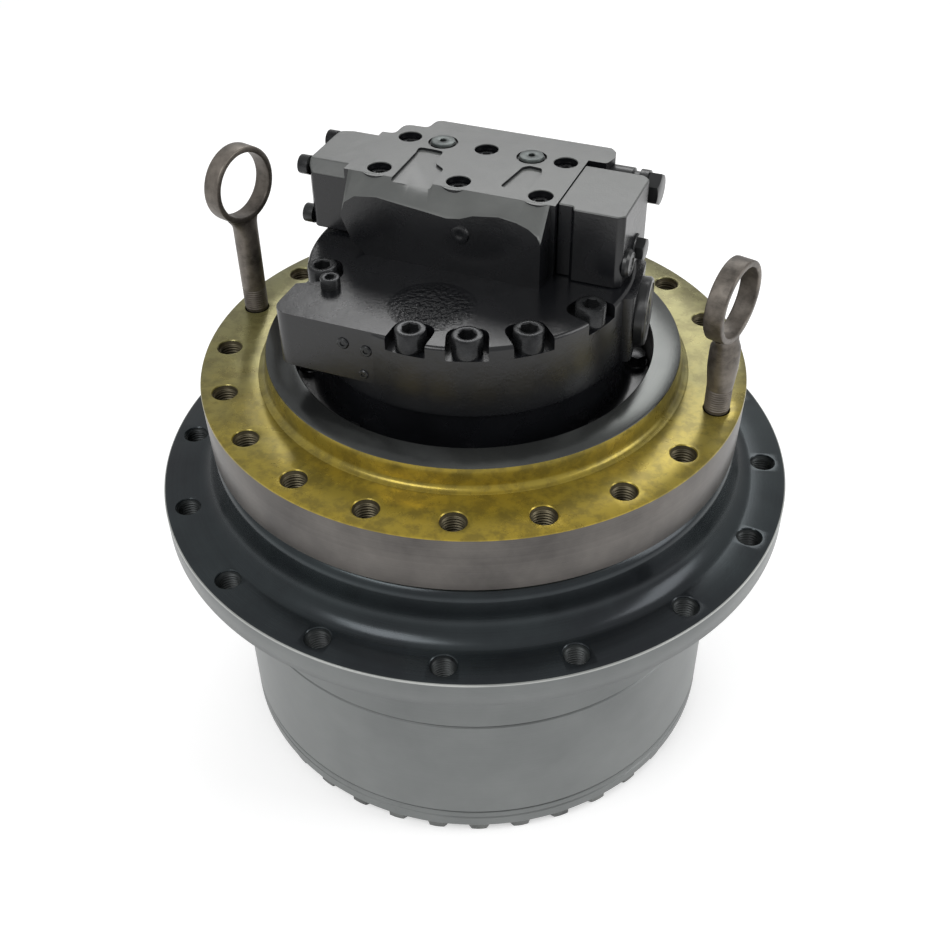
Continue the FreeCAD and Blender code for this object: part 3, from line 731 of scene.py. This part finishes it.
def make_valve():
    """Brake valve block with its spool gallery, screws and plugs."""
    outline = [(-121.7, -9), (82, -9), (82, 117), (-82, 117), (-84, 98), (-108, 97), (-109, 75), (-121.7, 74)]
    body = bare("brake_valve_casting", prism(rounded(outline, [0, 0, 0, 8, 6, 9, 6, 0], 4), COVER_TOP, VALVE_TOP))
    step = [(70, 85), (99.5, 85), (103.5, 100), (101, 110), (95, 117), (70, 117)]
    carve(body, prism(rounded(step, [0, 4, 5, 4, 5, 0], 3), 136, VALVE_TOP), "UNION")
    top = [(-117, 146), (-112, 160), (-101, 168), (-79, 171), (-54, 168), (-31, 165.5), (-11, 163), (2, 165),
           (14, 170), (38, 173.5), (55, 171), (66, 167), (74, 161), (77, 154)]
    front = [(-94, COVER_TOP), (-107, GALLERY_FOOT)] + top + [(77, COVER_TOP)]
    gallery = loft([[(u, w, gallery_height(z, w)) for u, z in front] for w in (-32.0, -29.5, -9.0, 0.0)])
    carve(body, gallery, "UNION")
    bosses = []
    for u, w in VALVE_SCREWS[::2]:
        boss = lathe([(0, 150), (15, 150), (17.3, 168), (17.3, 180.9), (0, 180.9)], 40, closed=False)
        bosses.append(moved(boss, at(u, w)))
    carve(body, joined(bosses), "UNION")
    panels = [
        rounded([(-73, -14), (-73.5, 44), (-75, 56), (-62, 56), (-50, 55), (-47, 30), (-36, 22), (-33, -14)], 4, 3),
        rounded([(24, 9), (30, 51), (35, 56), (47.5, 54.5), (51, 43.5), (50, 13), (42, 6)], 4, 3),
    ]
    carve(body, joined([prism(panel, 178.4, 183) for panel in panels]))
    wells = [moved(lathe([(0, 163), (11, 163), (11, 180.2), (12, 182), (0, 182)], 32, closed=False), at(u, w))
             for u, w in VALVE_SCREWS]
    grooves = [moved(lathe([(12, 178), (14.2, 178), (14.2, 183), (12, 183)], 32), at(u, w)) for u, w in GALLERY_PLUGS]
    carve(body, joined(wells + grooves))
    body.data.transform(VALVE)
    put(body, "fixed_body", [VALVE_PAINT, MOTOR], ["brake_valve_body"], bevel=1.2, steps=2, angle=35,
        paint=lambda c, n: 0 if n.z > 0.3 else 1)

    heads = [moved(socket_head(10, 12, 10.5, 7, 28), VALVE @ at(u, w, 163)) for u, w in VALVE_SCREWS]
    put(bare("valve_screw_heads", joined(heads)), "fixed_body", [SCREW_BLACK_AND_SHADE], ["valve_screws"], angle=30)
    plugs = [moved(socket_head(11.6, 2.6, 6, 2, 32), VALVE @ at(u, w, 180.4)) for u, w in GALLERY_PLUGS]
    put(bare("gallery_plug_heads", joined(plugs)), "fixed_body", [PLUG], ["gallery_plugs"], angle=30)

    button = lathe([(0, 0), (9, 0), (8, 2.0), (5.0, 2.6), (3.0, 2.0), (0, 1.8)], 24, closed=False)
    button = moved(button, VALVE @ at(2, -31.8, 150) @ Matrix.Rotation(math.pi / 2, 4, "X"))
    put(bare("gallery_boss", button), "fixed_body", [MOTOR], angle=40)


def make_spool_cap():
    """Cap over the left end of the spool."""
    outline = [(-122.0, -5), (-122.0, 70), (-150, 70), (-163.5, 66), (-163.5, 1), (-158, -5)]
    cap = bare("spool_end_casting", prism(rounded(outline, [0, 0, 6, 8, 8, 5], 4), 113, 179))
    carve(cap, loft([[(u, -9, 165), (u, -9, 185), (u, 11, 185)] for u in (-190, -110)]))
    cap.data.transform(VALVE)
    put(cap, "fixed_body", [VALVE_PAINT, MOTOR], ["spool_end_cap"], bevel=2.2, steps=3, angle=35,
        paint=lambda c, n: 0 if n.z > 0.3 else 1)
    heads = []
    for w in (4.0, 61.0):
        for z in (121.0, 171.0):
            turn = Matrix.Rotation(math.pi, 4, "X")
            heads.append(moved(socket_head(9.0, 10, 8, 5, 28), ALONG_U @ at(w, z, -163.3) @ turn))
    put(bare("end_cap_screw_heads", joined(heads)), "fixed_body", [SCREW_BLACK_AND_SHADE], ["end_cap_screws"],
        angle=30)


def make_relief():
    """Relief block, the cartridge behind it and the fittings on its end."""
    outline = [(82.3, -2.5), (96, -2.5), (98.5, -8.7), (139, -8.7), (144.4, -4), (144.4, 70), (138, 75.7),
               (82.3, 75.7)]
    block = bare("relief_block_casting", prism(rounded(outline, [0, 2, 2, 3, 3, 6, 6, 0], 4), 110.2, 180.6))
    block.data.transform(VALVE)
    put(block, "fixed_body", [VALVE_PAINT, MOTOR], ["relief_block"], bevel=1.6, steps=3, angle=35,
        paint=lambda c, n: 0 if n.z > 0.3 else 1)
    barrel = lathe([(0, 99), (16, 99), (16, 122), (13.2, 123.5), (13.2, 128), (16, 129), (16, 137), (13.5, 138),
                    (0, 138)], 40, closed=False)
    nut = moved(hex_head(27, 12), at(0, 0, 138))
    cartridge = moved(joined([barrel, nut]), ALONG_U @ at(97, 158, 0))
    put(bare("relief_cartridge_body", cartridge), "fixed_body", [CAP], ["relief_cartridge"], angle=30)
    fittings = [moved(hex_head(19, 10.5, 13, 2.5), ALONG_U @ at(35, 130, 144.2)),
                moved(lathe([(0, 0), (13, 0), (13, 3), (11, 5.6), (6, 6.2), (5, 5.0), (0, 5.0)], 32, closed=False),
                      ALONG_U @ at(6, 130, 144.2))]
    put(bare("relief_block_fittings", joined(fittings)), "fixed_body", [CAP], angle=30)


# ---------------------------------------------------------------- pieces kept from the CAD model

KEPT = {
    "main_bearing": BEARING, "face_seal_ring": BEARING, "carrier_1": GEAR, "carrier_2": GEAR, "sun_gear_2": GEAR,
    "sun_gear_1_shaft": GEAR, "planet_gear_1a": GEAR, "planet_gear_1b": GEAR, "planet_gear_1c": GEAR,
    "planet_gear_2a": GEAR, "planet_gear_2b": GEAR, "planet_gear_2c": GEAR,
}


def dress_kept_nodes():
    """Steel for the sealed pieces that keep their CAD shape."""
    for name, material in KEPT.items():
        slots = nodes[name].material_slots
        if not slots:
            nodes[name].data.materials.append(material)
        for slot in slots:
            slot.material = material


# ---------------------------------------------------------------- stage, light and camera


def make_stage():
    """A pale floor that is white to the camera, and a soft white sky."""
    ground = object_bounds()[0][2]
    size = 6.0
    bm = bmesh.new()
    corners = [bm.verts.new(p) for p in ((-size, -size, ground), (size, -size, ground), (size, size, ground),
                                         (-size, size, ground))]
    bm.faces.new(corners)
    mesh = bpy.data.meshes.new("floor")
    bm.to_mesh(mesh)
    bm.free()
    floor = bpy.data.objects.new("floor", mesh)
    bpy.context.scene.collection.objects.link(floor)
    s = Shader("floor_white")
    s.finish((0.8, 0.8, 0.8), 0.9, 0.0, 0.1)
    path = s.node("ShaderNodeLightPath")
    seen = s.math("MAXIMUM", path.outputs["Is Camera Ray"],
                  s.math("MAXIMUM", path.outputs["Is Glossy Ray"], path.outputs["Is Transmission Ray"]))
    emission = s.node("ShaderNodeEmission")
    emission.inputs["Color"].default_value = (1, 1, 1, 1)
    emission.inputs["Strength"].default_value = 0.42
    add = s.node("ShaderNodeAddShader")
    mix = s.node("ShaderNodeMixShader")
    s.link(s.shader.outputs[0], add.inputs[0])
    s.link(emission.outputs[0], add.inputs[1])
    s.link(seen, mix.inputs[0])
    s.link(s.shader.outputs[0], mix.inputs[1])
    s.link(add.outputs[0], mix.inputs[2])
    s.link(mix.outputs[0], s.tree.nodes["Material Output"].inputs["Surface"])
    mesh.materials.append(s.material)

    world = bpy.data.worlds.new("studio")
    bpy.context.scene.world = world
    world.use_nodes = True
    tree = world.node_tree
    tree.nodes.clear()
    path = tree.nodes.new("ShaderNodeLightPath")
    soft = tree.nodes.new("ShaderNodeBackground")
    soft.inputs["Color"].default_value = (1, 1, 1, 1)
    soft.inputs["Strength"].default_value = 0.55
    white = tree.nodes.new("ShaderNodeBackground")
    white.inputs["Color"].default_value = (1, 1, 1, 1)
    white.inputs["Strength"].default_value = 1.0
    mix = tree.nodes.new("ShaderNodeMixShader")
    out = tree.nodes.new("ShaderNodeOutputWorld")
    tree.links.new(path.outputs["Is Camera Ray"], mix.inputs[0])
    tree.links.new(soft.outputs[0], mix.inputs[1])
    tree.links.new(white.outputs[0], mix.inputs[2])
    tree.links.new(mix.outputs[0], out.inputs["Surface"])


def lamp(name, place, target, size, power):
    data = bpy.data.lights.new(name, "AREA")
    data.shape = "RECTANGLE"
    data.size, data.size_y = size
    data.energy = power
    light = bpy.data.objects.new(name, data)
    light.location = place
    light.rotation_euler = (Vector(target) - Vector(place)).to_track_quat("-Z", "Y").to_euler()
    bpy.context.scene.collection.objects.link(light)


def make_light():
    lamp("key", (-1.1, -1.3, 1.9), (0, 0, -0.1), (1.2, 1.2), 24)
    lamp("side", (1.9, -0.5, 1.0), (0, 0, -0.1), (0.8, 1.6), 16)
    lamp("back", (0.3, 1.9, 1.6), (0, 0, 0), (1.6, 0.8), 16)


def make_camera():
    """Camera fitted to the flanges' ellipses."""
    elevation = math.radians(40.39)
    roll = math.radians(-0.71)
    right = Vector((1, 0, 0))
    down = Vector((0, -math.sin(elevation), -math.cos(elevation)))
    forward = Vector((0, math.cos(elevation), -math.sin(elevation)))
    right, down = (right * math.cos(roll) - down * math.sin(roll), right * math.sin(roll) + down * math.cos(roll))
    data = bpy.data.cameras.new("camera")
    data.sensor_width = 36.0
    data.lens = 45.79
    data.clip_start = 0.05
    camera = bpy.data.objects.new("camera", data)
    camera.matrix_world = Matrix((
        (right.x, -down.x, -forward.x, 0.0003),
        (right.y, -down.y, -forward.y, -0.9837),
        (right.z, -down.z, -forward.z, 0.6809),
        (0, 0, 0, 1),
    ))
    bpy.context.scene.collection.objects.link(camera)
    bpy.context.scene.camera = camera


make_spindle()
make_eyes()
make_hub()
make_ring_gear()
make_cover()
make_motor()
make_rear_cover()
make_valve()
make_spool_cap()
make_relief()
dress_kept_nodes()
make_stage()
make_light()
make_camera()
bpy.context.scene.view_settings.view_transform = "Standard"
